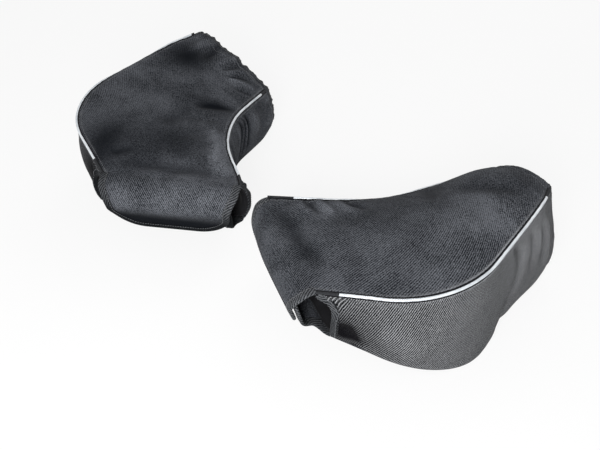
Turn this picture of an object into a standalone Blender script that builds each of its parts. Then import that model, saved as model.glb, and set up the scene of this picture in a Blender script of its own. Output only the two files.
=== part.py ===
# A pair of padded handlebar mitts that stand open over the two ends of a push bar.
# Metres and degrees. +X runs across the pair, -Y towards the machine, +Z up.
# Each mitt is drawn in its own frame: x along the bar from the inner seam to the outer one,
# y back from the bar's axis to the cuff, z up from the surface that the mitts stand on.
import math

import bmesh
import bpy
from mathutils import Vector

# Driving dimensions of a mitt
bar_opening_width = 0.180        # along the bar, between the two top seams
bar_diameter = 0.020             # the tube that the mitts are made for
bar_height = 0.082               # the bar's axis over the surface below
bar_clearance = 0.009            # round the bar, to the edge of a side wall
seam_setback = 0.003             # from the bar's axis back to where the top seams start
roll_radius = 0.024              # of the top panel's outer face round the bar

# Where the two mitts stand
inner_corner_offset = 0.0208     # from the pair's middle to a mitt's inner seam, at the bar
bar_toe_angle = 30.7             # a mitt's bar runs towards the machine by this much

# The outer top seam, seen from above: a straight, a bend and a straight
outer_flare_angle = 38.2
outer_front_run = 0.074
outer_bend_radius = 0.115
outer_return_angle = 32.3
outer_rear_run = 0.165

# The inner top seam, likewise
inner_flare_angle = 20.5
inner_front_run = 0.070
inner_bend_radius = 0.249
inner_return_angle = 12.1
inner_rear_run = 0.093

# Heights of the two top seams, and of the top panel's crown between them
outer_middle_height = 0.132
outer_rear_height = 0.141
inner_middle_height = 0.096
inner_rear_height = 0.073
crown_heights = {"right": 0.008, "left": 0.026}
crown_full_share = 0.6           # of the seams' length, where the crown is full
wall_bulge = 0.005

# The bottom panel lies flat in the middle and lifts towards the bar and the cuff
bar_room_below = 0.037           # from the bar's axis down to where the bottom panel's lift would end
front_lift_share = 0.5
outer_rear_lift = 0.025
inner_rear_lift = 0.009
rear_lift_share = 0.8
bottom_front = 0.017             # from the bar's axis back to the bottom panel's front edge

# Layers
fabric_thickness = 0.0016
foam_thickness = 0.005
lining_thickness = 0.0014
layer_clearance = 0.0004
sewn_clearance = 0.0005          # between two edges that are sewn or hinged together
padding_margin_share = 0.1       # of a panel, that its padding leaves free on each side
padding_start_share = 0.09       # of the seams' length, where padding and lining begin
padding_end_share = 0.965        # and where padding ends, short of the cuff

# Trim
piping_radius = 0.002
piping_start_share = 0.25        # of the way from the bar to the padding, where piping begins
binding_radius = 0.0016
trim_clearance = 0.0006          # from a binding to the edge that it binds

# The front flap, which hangs over the bar, and the under flap, which closes behind it
flap_start_angle = 45.0          # round the bar from straight up, where the flaps' hinge lies
flap_tuck_angle = 15.0           # that both flaps lean back under the bar
flap_hang = 0.044                # straight length of the front flap
flap_thickness = 0.003
flap_corner_radius = 0.045
flap_side_taper = 0.010
under_flap_inner_inset = 0.012
under_flap_outer_inset = 0.014
under_flap_bend_radius = 0.010
under_flap_rise = 0.033
under_flap_corner_radius = 0.010
tape_thickness = 0.001
tape_width = 0.020
tape_length = 0.110
tape_clearance = 0.0003

# The cuff's hem, a folded channel, and the elastic in it
hem_width = 0.012
hem_depth = 0.005
hem_wall = 0.0012
elastic_width = 0.008
elastic_thickness = 0.0015

# How finely the cloth is divided
along_rows = 12                  # of padding, from its front edge to its rear one
top_columns = 6                  # across the top padding
side_columns = 3                 # across the padding of the bottom and of each side wall
roll_rows = 3
flap_columns = 8
bend_rows = 4                    # round a flap's bend
hang_rows = 5                    # and from there to its end
side_steps = 5                   # along a side of a flap's binding
corner_steps = 8                 # and round its corner
merge_distance = 0.00001
probe_share = 0.001              # step at which a surface's slope is read

colours = {
    "outer_fabric": ((0.045, 0.047, 0.052, 1.0), 0.85, 0.0),
    "foam": ((0.55, 0.55, 0.53, 1.0), 0.95, 0.0),
    "lining": ((0.03, 0.03, 0.032, 1.0), 0.9, 0.0),
    "reflective_piping": ((0.78, 0.79, 0.8, 1.0), 0.35, 0.2),
    "binding": ((0.04, 0.04, 0.042, 1.0), 0.8, 0.0),
    "elastic": ((0.6, 0.6, 0.58, 1.0), 0.8, 0.0),
    "hook_and_loop": ((0.02, 0.02, 0.02, 1.0), 0.95, 0.0),
}

bar_radius = bar_diameter / 2
notch_radius = bar_radius + bar_clearance
foam_depth = fabric_thickness + layer_clearance
lining_depth = foam_depth + foam_thickness + layer_clearance
seam_gap = piping_radius + sewn_clearance
front_lift = bar_height - bar_room_below
front_height = bar_height + math.sqrt(roll_radius ** 2 - seam_setback ** 2)
flap_facing_depth = flap_thickness + tape_clearance
under_flap_depth = flap_facing_depth + 2 * (tape_thickness + tape_clearance)
under_flap_radius = roll_radius - under_flap_depth
binding_spread = binding_radius + trim_clearance


# Small formulas

def mix(a, b, share):
    return a + (b - a) * share


def through_three(share, first, middle, last):
    """The parabola with these values at shares 0, a half and 1."""
    return (first * (1 - share) * (1 - 2 * share) + middle * 4 * share * (1 - share)
            + last * share * (2 * share - 1))


def smooth(share):
    share = min(max(share, 0.0), 1.0)
    return share * share * (3 - 2 * share)


def beside(line, across, distance, closed=False):
    """A line moved sideways by a distance, square to its own edges and to a direction across them."""
    ways = [(end - start).cross(across).normalized() for start, end in zip(line, line[1:] + line[:1])]
    if not closed:
        ways[-1] = ways[-2]
    earlier = [ways[-1] if closed else ways[0], *ways]
    moved = []
    for place, before, after in zip(line, earlier, ways):
        middle = (before + after).normalized()
        moved.append(place + middle * distance / middle.dot(after))
    return moved


# The seams, seen from above

def bent_line(start_x, flare, front_run, radius, back, rear_run, share):
    """Point and outward-facing side of a straight, an arc and a straight, at a share of their length."""
    flare, back = math.radians(flare), math.radians(back)
    arc = radius * (flare + back)
    length = front_run + arc + rear_run
    run = share * length
    turned = min(max((run - front_run) / arc, 0.0), 1.0) * (flare + back) - flare
    x, y = start_x, seam_setback
    first = min(run, front_run)
    x, y = x + first * math.sin(flare), y + first * math.cos(flare)
    x += radius * (math.cos(turned) - math.cos(flare))
    y += radius * (math.sin(turned) + math.sin(flare))
    last = max(run - front_run - arc, 0.0)
    x, y = x - last * math.sin(back), y + last * math.cos(back)
    return Vector((x, y, 0)), Vector((math.cos(turned), math.sin(turned), 0))


def outer_seam(share):
    return bent_line(bar_opening_width, outer_flare_angle, outer_front_run, outer_bend_radius,
                     outer_return_angle, outer_rear_run, share)


def inner_seam(share):
    return bent_line(0.0, inner_flare_angle, inner_front_run, inner_bend_radius,
                     inner_return_angle, inner_rear_run, share)


def seam_share_at(seam, y):
    """Share of a seam's length at which its first straight has come back to y."""
    reach = seam(probe_share)[0].y - seam_setback
    return (y - seam_setback) / reach * probe_share


def top_corners(share):
    inner, outer = inner_seam(share)[0], outer_seam(share)[0]
    inner.z = through_three(share, front_height, inner_middle_height, inner_rear_height)
    outer.z = through_three(share, front_height, outer_middle_height, outer_rear_height)
    return inner, outer


def bottom_height(share, rear_lift):
    front = max(1 - share / front_lift_share, 0.0)
    rear = max((share - rear_lift_share) / (1 - rear_lift_share), 0.0)
    return front_lift * front ** 1.5 + rear_lift * rear ** 2


def bottom_corners(share):
    inner, outer = inner_seam(share)[0], outer_seam(share)[0]
    inner.z = bottom_height(share, inner_rear_lift)
    outer.z = bottom_height(share, outer_rear_lift)
    return inner, outer


# The faces of the mitt. Each takes two shares and gives a point of its outer face.

def top_face(crown):
    def point(across, along):
        inner, outer = top_corners(along)
        place = mix(inner, outer, across)
        place.z += crown * smooth(along / crown_full_share) * 4 * across * (1 - across)
        return place
    return point


def bottom_face(across, along):
    inner, outer = bottom_corners(along)
    return mix(inner, outer, across)


def wall_face(seam, corners, side):
    """Down is 0 at the top seam and 1 at the bottom one; along is a share of the seam."""
    def point(down, along):
        plan, facing = seam(along)
        top, bottom = corners(along)
        place = plan + facing * side * wall_bulge * 4 * down * (1 - down)
        place.z = mix(top, bottom, down)
        return place
    return point


def outer_corners(share):
    return top_corners(share)[1].z, bottom_corners(share)[1].z


def inner_corners(share):
    return top_corners(share)[0].z, bottom_corners(share)[0].z


outer_wall = wall_face(outer_seam, outer_corners, 1)
inner_wall = wall_face(inner_seam, inner_corners, -1)


def sunk(face, facing, depth):
    """The same face, moved in from its outer side by a depth, square to itself."""
    def point(first, second):
        a = face(first + probe_share, second) - face(first - probe_share, second)
        b = face(first, second + probe_share) - face(first, second - probe_share)
        out = a.cross(b).normalized()
        if out.dot(facing) < 0:
            out = -out
        return face(first, second) - out * depth
    return point


up, down = Vector((0, 0, 1)), Vector((0, 0, -1))
outwards, inwards = Vector((1, 0, 0)), Vector((-1, 0, 0))
forwards = Vector((0, -1, 0))


# The roll of the top panel and the flaps round the bar: angles from straight up, towards the machine

def round_bar(radius, angle):
    angle = math.radians(angle)
    return Vector((0, -radius * math.sin(angle), bar_height + radius * math.cos(angle)))


seam_angle = -math.degrees(math.asin(seam_setback / roll_radius))
straight_angle = 90 + flap_tuck_angle
straight_way = Vector((0, math.sin(math.radians(flap_tuck_angle)), -math.cos(math.radians(flap_tuck_angle))))
flap_arc = roll_radius * math.radians(straight_angle - flap_start_angle)
flap_length = flap_arc + flap_hang
# The edges at the front flap's hinge lean towards each other by half a facet's turn
flap_lean = math.radians(straight_angle - flap_start_angle) / bend_rows / 2
panel_lean = math.radians(flap_start_angle - seam_angle) / roll_rows / 2
flap_hinge_gap = sewn_clearance + flap_thickness * math.sin(flap_lean) + fabric_thickness * math.sin(panel_lean)


def flap_profile(run):
    """Point of the front flap's outer face, by the length of cloth from its hinge."""
    if run <= flap_arc:
        return round_bar(roll_radius, flap_start_angle + math.degrees(run / roll_radius))
    return round_bar(roll_radius, straight_angle) + straight_way * (run - flap_arc)


def flap_facing(run):
    angle = math.radians(min(flap_start_angle + math.degrees(run / roll_radius), straight_angle))
    return Vector((0, -math.sin(angle), math.cos(angle)))


def flap_runs(gap, bend_start, bend_end, length):
    """Lengths from the hinge at which a flap has its rows, crowded towards its rounded end."""
    bend = [mix(bend_start, bend_end, i / bend_rows) for i in range(bend_rows + 1) if bend_start or i]
    crowded = [math.sin(math.pi / 2 * i / hang_rows) for i in range(1, hang_rows + 1)]
    return [gap, *bend, *(mix(bend_end, length, share) for share in crowded)]


# The under flap: back from its hinge under the bar, then up in front of it

hinge_share = max(seam_share_at(seam, bottom_front) for seam in (inner_seam, outer_seam))
under_hinge = Vector((0, bottom_front, bottom_height(hinge_share, outer_rear_lift)))
rise_facing = Vector((0, -math.cos(math.radians(flap_tuck_angle)), -math.sin(math.radians(flap_tuck_angle))))
bend_centre_z = under_hinge.z + under_flap_bend_radius
bend_centre_y = ((under_flap_radius - under_flap_bend_radius
                  - (bend_centre_z - bar_height) * rise_facing.z) / rise_facing.y)
under_run = under_hinge.y - bend_centre_y
under_arc = under_flap_bend_radius * math.radians(90 - flap_tuck_angle)
under_length = under_run + under_arc + under_flap_rise


def under_profile(run):
    """Point of the under flap's outer face, by the length of cloth from its hinge."""
    if run <= under_run:
        return Vector((0, under_hinge.y - run, under_hinge.z))
    centre = Vector((0, bend_centre_y, bend_centre_z))
    turned = min((run - under_run) / under_flap_bend_radius, math.radians(90 - flap_tuck_angle))
    place = centre + under_flap_bend_radius * Vector((0, -math.sin(turned), -math.cos(turned)))
    return place - straight_way * max(run - under_run - under_arc, 0.0)


def under_facing(run):
    turned = min(max(run - under_run, 0.0) / under_flap_bend_radius, math.radians(90 - flap_tuck_angle))
    return Vector((0, -math.sin(turned), -math.cos(turned)))


class Flap:
    """A flap's outline, laid flat: the runs of its rows from the hinge, its sides and its rounded corners."""

    def __init__(self, profile, facing, runs, low, high, taper, radius):
        self.profile, self.facing, self.runs = profile, facing, runs
        self.low, self.high, self.taper, self.radius = low, high, taper, radius
        self.straight = runs[-1] - radius

    def drawn(self, run):
        """How far each side has come in at a length from the hinge."""
        into = min(max(run - self.straight, 0.0), self.radius)
        return (self.taper * min(run / self.straight, 1.0)
                + self.radius - math.sqrt(self.radius ** 2 - into ** 2))

    def point(self, column, row):
        run = self.runs[row]
        place = self.profile(run)
        place.x = mix(self.low + self.drawn(run), self.high - self.drawn(run), column / flap_columns)
        return place

    def binding_line(self):
        """The middle line of the binding round the two sides and the end."""
        start = self.runs[0] + binding_spread
        half = []
        for i in range(side_steps):
            run = mix(start, self.straight, i / side_steps)
            half.append((self.drawn(run) - binding_spread, run))
        reach = self.radius + binding_spread
        for i in range(corner_steps + 1):
            turn = math.radians(90 * i / corner_steps)
            half.append((self.taper + self.radius - reach * math.cos(turn), self.straight + reach * math.sin(turn)))
        line = [(self.low + x, run) for x, run in half] + [(self.high - x, run) for x, run in reversed(half)]
        points = []
        for x, run in line:
            place = self.profile(run) - self.facing(run) * flap_thickness / 2
            points.append(place + Vector((x, 0, 0)))
        return points


front_flap = Flap(flap_profile, flap_facing, flap_runs(flap_hinge_gap, 0.0, flap_arc, flap_length),
                  0.0, bar_opening_width, flap_side_taper, flap_corner_radius)
under_flap = Flap(under_profile, under_facing,
                  flap_runs(sewn_clearance, under_run, under_run + under_arc, under_length),
                  under_flap_inner_inset, bar_opening_width - under_flap_outer_inset, 0.0,
                  under_flap_corner_radius)


# The four sides of the mitt, in the order in which a loop round the hand space meets them

class Panel:
    """A side of the mitt, with the stops across it that its fabric, padding and lining share."""

    def __init__(self, face, facing, columns, turned_back):
        low, high = padding_margin_share, 1 - padding_margin_share
        self.face, self.facing = face, facing
        self.stops = [mix(low, high, i / columns) for i in range(columns + 1)]
        if turned_back:
            self.stops.reverse()

    def edged(self, first, last):
        """The stops with the panel's own two edges, in the same order."""
        if self.stops[0] > self.stops[-1]:
            return [last, *self.stops, first]
        return [first, *self.stops, last]


# Shares of the seams' length at which all layers have a row
stations = [mix(padding_start_share, padding_end_share, i / along_rows) for i in range(along_rows + 1)]
stations.append(1.0)


# Making pieces

collection = bpy.data.collections.new("handlebar_mitts")
materials = {}


def material(name):
    if name not in materials:
        made = bpy.data.materials.new(name)
        made.use_nodes = True
        shader = made.node_tree.nodes["Principled BSDF"]
        colour, roughness, metallic = colours[name]
        shader.inputs["Base Color"].default_value = colour
        shader.inputs["Roughness"].default_value = roughness
        shader.inputs["Metallic"].default_value = metallic
        made.diffuse_color = colour
        materials[name] = made
    return materials[name]


class Mitt:
    """One mitt of the pair. side is right or left, as worn, and flip is the sign of its x."""

    def __init__(self, side, flip, pair):
        self.side, self.flip = side, flip
        self.top = Panel(top_face(crown_heights[side]), up, top_columns, False)
        self.outer = Panel(outer_wall, outwards, side_columns, False)
        self.bottom = Panel(bottom_face, down, side_columns, True)
        self.inner = Panel(inner_wall, inwards, side_columns, True)
        self.panels = (self.top, self.outer, self.bottom, self.inner)
        self.stand = self.empty("stand", pair, Vector((inner_corner_offset, 0, 0)))
        self.stand.rotation_euler.z = -flip * math.radians(bar_toe_angle)
        self.front_hinge = self.empty("front_flap_hinge", self.stand, round_bar(roll_radius, flap_start_angle))
        self.under_hinge = self.empty("under_flap_hinge", self.stand, under_hinge)

    def placed(self, point):
        return Vector((point.x * self.flip, point.y, point.z))

    def empty(self, name, parent, place):
        made = bpy.data.objects.new(f"{self.side}_{name}", None)
        made.location = self.placed(place)
        made.parent = parent
        collection.objects.link(made)
        return made

    def local(self, point, parent):
        """A point of the mitt in the frame of the empty that carries it."""
        place = self.placed(point)
        return place if parent is self.stand else place - parent.location

    def add(self, name, data, finish, parent):
        piece = bpy.data.objects.new(f"{self.side}_{name}", data)
        data.materials.append(material(finish))
        collection.objects.link(piece)
        piece.parent = parent
        return piece

    def sheet(self, name, point, facing, columns, rows, thickness, finish, parent=None, closed=False):
        """A grid laid out by column and row, facing outwards, with a thickness inwards.

        A closed one is a sleeve whose columns go round from the top to the outer side.
        """
        parent = parent or self.stand
        grid = bmesh.new()
        bmesh.ops.create_grid(grid, x_segments=columns, y_segments=rows, size=1.0)
        for vert in grid.verts:
            column, row = round((vert.co.x + 1) / 2 * columns), round((vert.co.y + 1) / 2 * rows)
            vert.co = self.local(point(column, row), parent)
        if closed:
            bmesh.ops.remove_doubles(grid, verts=grid.verts, dist=merge_distance)
        bmesh.ops.triangulate(grid, faces=grid.faces, quad_method="FIXED")
        grid.normal_update()
        total = sum((face.normal * face.calc_area() for face in grid.faces), Vector())
        inside_out = self.flip < 0 if closed else total.dot(self.placed(facing)) < 0
        if inside_out:
            bmesh.ops.reverse_faces(grid, faces=grid.faces)
        mesh = bpy.data.meshes.new(name)
        grid.to_mesh(mesh)
        grid.free()
        mesh.shade_smooth()
        piece = self.add(name, mesh, finish, parent)
        wall = piece.modifiers.new("Thickness", "SOLIDIFY")
        wall.thickness = thickness
        wall.offset = -1
        wall.use_even_offset = True
        return piece

    def cord(self, name, points, radius, finish, parent=None):
        """A round strip along a list of points."""
        parent = parent or self.stand
        curve = bpy.data.curves.new(name, "CURVE")
        curve.dimensions = "3D"
        curve.bevel_depth = radius
        curve.bevel_resolution = 1
        curve.use_fill_caps = True
        line = curve.splines.new("POLY")
        line.points.add(len(points) - 1)
        for spot, point in zip(line.points, points):
            spot.co = (*self.local(point, parent), 1)
        return self.add(name, curve, finish, parent)


# Shell: the top panel with its roll over the bar, the bottom panel and two side walls

def build_top_panel(mitt):
    def point(column, row):
        if row < roll_rows:
            drawn = seam_gap * row / roll_rows
            place = round_bar(roll_radius, mix(flap_start_angle, seam_angle, row / roll_rows))
            place.x = mix(drawn, bar_opening_width - drawn, mitt.top.edged(0.0, 1.0)[column])
            return place
        share = stations[row - roll_rows - 1] if row > roll_rows else 0.0
        inner, outer = top_corners(share)
        width = outer - inner
        first = seam_gap / width.dot(inner_seam(share)[1])
        last = 1 - seam_gap / width.dot(outer_seam(share)[1])
        return mitt.top.face(mitt.top.edged(first, last)[column], share)
    mitt.sheet("top_panel", point, up, top_columns + 2, roll_rows + len(stations),
               fabric_thickness, "outer_fabric")


def build_bottom_panel(mitt):
    front = [seam(seam_share_at(seam, bottom_front))[0] for seam in (inner_seam, outer_seam)]

    def point(column, row):
        across = mitt.bottom.edged(0.0, 1.0)[column]
        if row:
            return bottom_face(across, stations[row - 1])
        return mix(*front, across) + up * under_hinge.z
    mitt.sheet("bottom_panel", point, down, side_columns + 2, len(stations), fabric_thickness, "outer_fabric")


def wall_front(height):
    """Where a side wall starts at a height, back from the bar's axis: round the bar, then straight down."""
    over = height - bar_height
    if over >= 0:
        return max(seam_setback, math.sqrt(max(notch_radius ** 2 - over ** 2, 0.0)))
    return mix(notch_radius, bottom_front, over / (under_hinge.z - bar_height))


def wall_stops(panel, corners, share):
    """A side wall's stops from top to bottom, clear of the piping and of the bottom panel."""
    top, bottom = corners(share)
    return panel.edged(seam_gap / (top - bottom), 1 - foam_depth / (top - bottom))


def wall_edge(panel, seam, corners, column):
    """A point of a side wall's front edge, at one of its stops."""
    top, bottom = corners(hinge_share)
    stop = wall_stops(panel, corners, hinge_share)[column]
    share = seam_share_at(seam, wall_front(mix(top, bottom, stop)))
    return panel.face(wall_stops(panel, corners, share)[column], share)


def build_side_wall(mitt, name, panel, seam, corners):
    def point(column, row):
        if row == 0:
            return wall_edge(panel, seam, corners, column)
        share = stations[row - 1]
        return panel.face(wall_stops(panel, corners, share)[column], share)
    mitt.sheet(name, point, panel.facing, side_columns + 2, len(stations), fabric_thickness, "outer_fabric")


# Padding under each of the four, and the lining, a sleeve open at both ends

def build_padding(mitt, name, panel):
    layer = sunk(panel.face, panel.facing, foam_depth)

    def point(column, row):
        return layer(panel.stops[column], stations[row])
    mitt.sheet(name, point, panel.facing, len(panel.stops) - 1, along_rows, foam_thickness, "foam")


def loop(mitt, depth):
    """Functions of the share along the mitt, one for each stop of a loop round the hand space."""
    spots = []
    for panel in mitt.panels:
        layer = sunk(panel.face, panel.facing, depth)
        spots += [lambda share, layer=layer, stop=stop: layer(stop, share) for stop in panel.stops]
    return spots


def build_lining(mitt):
    spots = loop(mitt, lining_depth)

    def point(column, row):
        return spots[column % len(spots)](stations[row])
    mitt.sheet("lining", point, up, len(spots), len(stations) - 1, lining_thickness, "lining", closed=True)


# The cuff: steps go round the strip's section, as depths under the rim and places behind it

def build_cuff(mitt):
    inner, outer = top_corners(1.0)
    rim = outer - inner
    rearwards = Vector((-rim.y, rim.x, 0)).normalized()
    rim_line = [spot(1.0) for spot in loop(mitt, 0.0)]

    def ring(name, steps, thickness, finish):
        loops = [[place + rearwards * back for place in beside(rim_line, rearwards, -depth, closed=True)]
                 for depth, back in steps]

        def point(column, row):
            return loops[row][column % len(rim_line)]
        mitt.sheet(name, point, up, len(rim_line), len(steps) - 1, thickness, finish, closed=True)
    ring("cuff_hem", ((0.0, sewn_clearance), (0.0, hem_width), (hem_depth, hem_width),
                      (hem_depth, sewn_clearance)), hem_wall, "binding")
    ahead = (hem_width - elastic_width) / 2
    under = (hem_depth - elastic_thickness) / 2
    ring("cuff_elastic", ((under, ahead), (under, ahead + elastic_width)), elastic_thickness, "elastic")


# The flaps and their hook and loop tapes

def build_flaps(mitt):
    for name, flap, facing, hinge in (("front_flap", front_flap, forwards, mitt.front_hinge),
                                      ("under_flap", under_flap, forwards + down, mitt.under_hinge)):
        mitt.sheet(name, flap.point, facing, flap_columns, len(flap.runs) - 1, flap_thickness,
                   "outer_fabric", hinge)
        mitt.cord(name + "_binding", flap.binding_line(), binding_radius, "binding", hinge)
    middle = under_length - under_flap_rise / 2
    tape_start = (bar_opening_width - tape_length) / 2
    step = tape_thickness + tape_clearance
    for name, depth, hinge in (("hook_tape", step, mitt.under_hinge), ("loop_tape", 2 * step, mitt.front_hinge)):
        def point(column, row, depth=depth):
            place = under_profile(middle + mix(-tape_width, tape_width, row) / 2) + rise_facing * depth
            place.x = tape_start + tape_length * column / 2
            return place
        mitt.sheet(name, point, forwards, 2, 1, tape_thickness, "hook_and_loop", hinge)


# Piping in the top seams and binding along the free edges of the bar opening

def build_piping(mitt):
    for name, corner in (("piping_inner", 0), ("piping_outer", 1)):
        line = [top_corners(share)[corner] for share in stations]
        start = mix(top_corners(0.0)[corner], line[0], piping_start_share)
        mitt.cord(name, [start, *line], piping_radius, "reflective_piping")


def build_bar_binding(mitt, name, panel, seam, corners, edge_x, side):
    points = []
    for row in range(roll_rows):
        place = round_bar(roll_radius - fabric_thickness / 2, mix(flap_start_angle, seam_angle, row / roll_rows))
        place.x = edge_x + side * (binding_spread - seam_gap * row / roll_rows)
        points.append(place)
    edge = [wall_edge(panel, seam, corners, column) for column in range(side_columns + 3)]
    if edge[0].z < edge[-1].z:
        edge.reverse()
    facing = seam(hinge_share)[1]
    points += [place - facing * side * fabric_thickness / 2 for place in beside(edge, facing, binding_spread)]
    mitt.cord(name, points, binding_radius, "binding")


def centre(pair):
    """Moves the pair so that the middle of its footprint is the origin."""
    bpy.context.view_layer.update()
    graph = bpy.context.evaluated_depsgraph_get()
    places = []
    for piece in collection.objects:
        if piece.type != "EMPTY":
            solid = piece.evaluated_get(graph)
            places += [piece.matrix_world @ vert.co for vert in solid.to_mesh().vertices]
            solid.to_mesh_clear()
    for axis in (0, 1):
        spans = [place[axis] for place in places]
        pair.location[axis] = -(min(spans) + max(spans)) / 2


def build_pair():
    for existing in list(bpy.data.objects):
        bpy.data.objects.remove(existing)
    bpy.context.scene.collection.children.link(collection)
    pair = bpy.data.objects.new("pair_middle", None)
    collection.objects.link(pair)
    for side, flip in (("right", -1), ("left", 1)):
        mitt = Mitt(side, flip, pair)
        build_top_panel(mitt)
        build_bottom_panel(mitt)
        build_side_wall(mitt, "outer_side_wall", mitt.outer, outer_seam, outer_corners)
        build_side_wall(mitt, "inner_side_wall", mitt.inner, inner_seam, inner_corners)
        for name, panel in zip(("top_padding", "outer_wall_padding", "bottom_padding",
                                "inner_wall_padding"), mitt.panels):
            build_padding(mitt, name, panel)
        build_lining(mitt)
        build_cuff(mitt)
        build_flaps(mitt)
        build_piping(mitt)
        build_bar_binding(mitt, "outer_bar_binding", mitt.outer, outer_seam, outer_corners,
                          bar_opening_width, 1)
        build_bar_binding(mitt, "inner_bar_binding", mitt.inner, inner_seam, inner_corners, 0.0, -1)
    centre(pair)


build_pair()
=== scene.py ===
import math
import random

import bmesh
import bpy
import numpy as np
from mathutils import Matrix, Vector


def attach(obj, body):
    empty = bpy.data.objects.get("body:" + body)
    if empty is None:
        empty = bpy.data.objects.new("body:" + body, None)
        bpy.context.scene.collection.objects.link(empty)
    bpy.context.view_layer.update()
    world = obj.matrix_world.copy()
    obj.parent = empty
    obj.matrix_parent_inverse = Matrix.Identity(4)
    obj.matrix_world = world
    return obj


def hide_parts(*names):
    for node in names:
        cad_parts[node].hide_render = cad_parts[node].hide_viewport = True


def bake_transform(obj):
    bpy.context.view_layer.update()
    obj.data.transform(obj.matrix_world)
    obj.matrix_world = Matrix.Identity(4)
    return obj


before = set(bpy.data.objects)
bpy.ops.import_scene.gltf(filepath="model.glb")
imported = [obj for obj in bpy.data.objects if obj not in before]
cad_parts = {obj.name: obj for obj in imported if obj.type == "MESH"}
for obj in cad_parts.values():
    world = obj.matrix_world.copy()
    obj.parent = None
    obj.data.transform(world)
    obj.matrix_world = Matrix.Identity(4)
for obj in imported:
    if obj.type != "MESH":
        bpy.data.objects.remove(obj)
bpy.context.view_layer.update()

scene = bpy.context.scene
flips = {"right": -1, "left": 1}     # the sign of a mitt's own x in the pair

view = {
    "place": (0.5535, -0.66514, 0.7229),
    "target": (0.0117, 0.01296, 0.0),
    "roll": 0.2,                 # degrees
    "lens": 48.0,                # millimetres, on a 36 mm wide sensor
    "sensor": 36.0,
}


def addCamera():
    eye, target = Vector(view["place"]), Vector(view["target"])
    bpy.ops.object.camera_add(location=eye)
    camera = bpy.context.object
    turn = (target - eye).to_track_quat("-Z", "Y").to_matrix()
    camera.rotation_euler = (turn @ Matrix.Rotation(math.radians(view["roll"]), 3, "Z")).to_euler()
    camera.data.lens = view["lens"]
    camera.data.sensor_width = view["sensor"]
    camera.data.clip_start = 0.01
    camera.data.clip_end = 50.0
    scene.camera = camera


addCamera()
print("camera placed")


# Shader sums: a Wire is a socket that adds its own Math nodes when it is used in a sum

class Wire:
    def __init__(self, tree, node=None, socket=None):
        self.tree, self.node, self.socket = tree, node, socket

    def __getitem__(self, output):
        return Wire(self.tree, self.node, self.node.outputs[output])

    def add(self, kind, settings=None, inputs=None):
        node = self.tree.nodes.new(kind)
        for name, value in (settings or {}).items():
            setattr(node, name, value)
        for name, value in (inputs or {}).items():
            if isinstance(value, Wire):
                self.tree.links.new(value.socket, node.inputs[name])
            else:
                node.inputs[name].default_value = value
        return Wire(self.tree, node, next((s for s in node.outputs if s.enabled), None))

    def maths(self, operation, *values):
        return self.add("ShaderNodeMath", {"operation": operation}, dict(enumerate(values)))

    def __add__(self, other):
        return self.maths("ADD", self, other)

    def __sub__(self, other):
        return self.maths("SUBTRACT", self, other)

    def __rsub__(self, other):
        return self.maths("SUBTRACT", other, self)

    def __mul__(self, other):
        return self.maths("MULTIPLY", self, other)

    def __truediv__(self, other):
        return self.maths("DIVIDE", self, other)

    __radd__, __rmul__ = __add__, __mul__

    def wave(self):                      # 0 to 1, once for each whole number
        return self.maths("SINE", self * (2 * math.pi)) * 0.5 + 0.5

    def between(self, low, high):        # 0 at low and 1 at high
        return self.add("ShaderNodeMapRange", {"interpolation_type": "SMOOTHSTEP"},
                        {"Value": self, "From Min": low, "From Max": high})

    def clamped(self):
        return self.add("ShaderNodeClamp", None, {0: self})


def newMaterial(name, sockets):
    made = bpy.data.materials.new(name)
    made.use_nodes = True
    shader = made.node_tree.nodes["Principled BSDF"]
    for socket, value in sockets.items():
        shader.inputs[socket].default_value = value
    return made, shader, Wire(made.node_tree).add("ShaderNodeTexCoord")


def acrossAndAlong(coordinates):     # a cloth's own flat coordinates
    flat = coordinates.add("ShaderNodeSeparateXYZ", None, {0: coordinates["UV"]})
    return flat["X"], flat["Y"]


def link(wire, shader, socket):
    wire.tree.links.new(wire.socket, shader.inputs[socket])


def colourMix(first, second, factor):
    return factor.add("ShaderNodeMix", {"data_type": "RGBA"}, {0: factor, 6: first, 7: second})[2]


def painted(wire, label):            # what paint() has written on a piece
    return wire.add("ShaderNodeAttribute", {"attribute_name": label})["Fac"]


def seenRays(wire):                  # 1 for the camera, and for what metal and glass would show
    ray = wire.add("ShaderNodeLightPath")
    seen = ray["Is Camera Ray"]
    for kind in ("Is Glossy Ray", "Is Transmission Ray"):
        seen = seen.maths("MAXIMUM", seen, ray[kind])
    return seen


def noise(place, scale, detail=2.0, rough=0.5):
    return place.add("ShaderNodeTexNoise", None,
                     {"Vector": place, "Scale": scale, "Detail": detail, "Roughness": rough})["Fac"]


def dress(shader, shade, rough, height, strength, distance):
    lifted = height.add("ShaderNodeBump", None, {"Height": height, "Strength": strength, "Distance": distance})
    for wire, socket in ((shade, "Base Color"), (rough, "Roughness"), (lifted["Normal"], "Normal")):
        link(wire, shader, socket)


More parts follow.
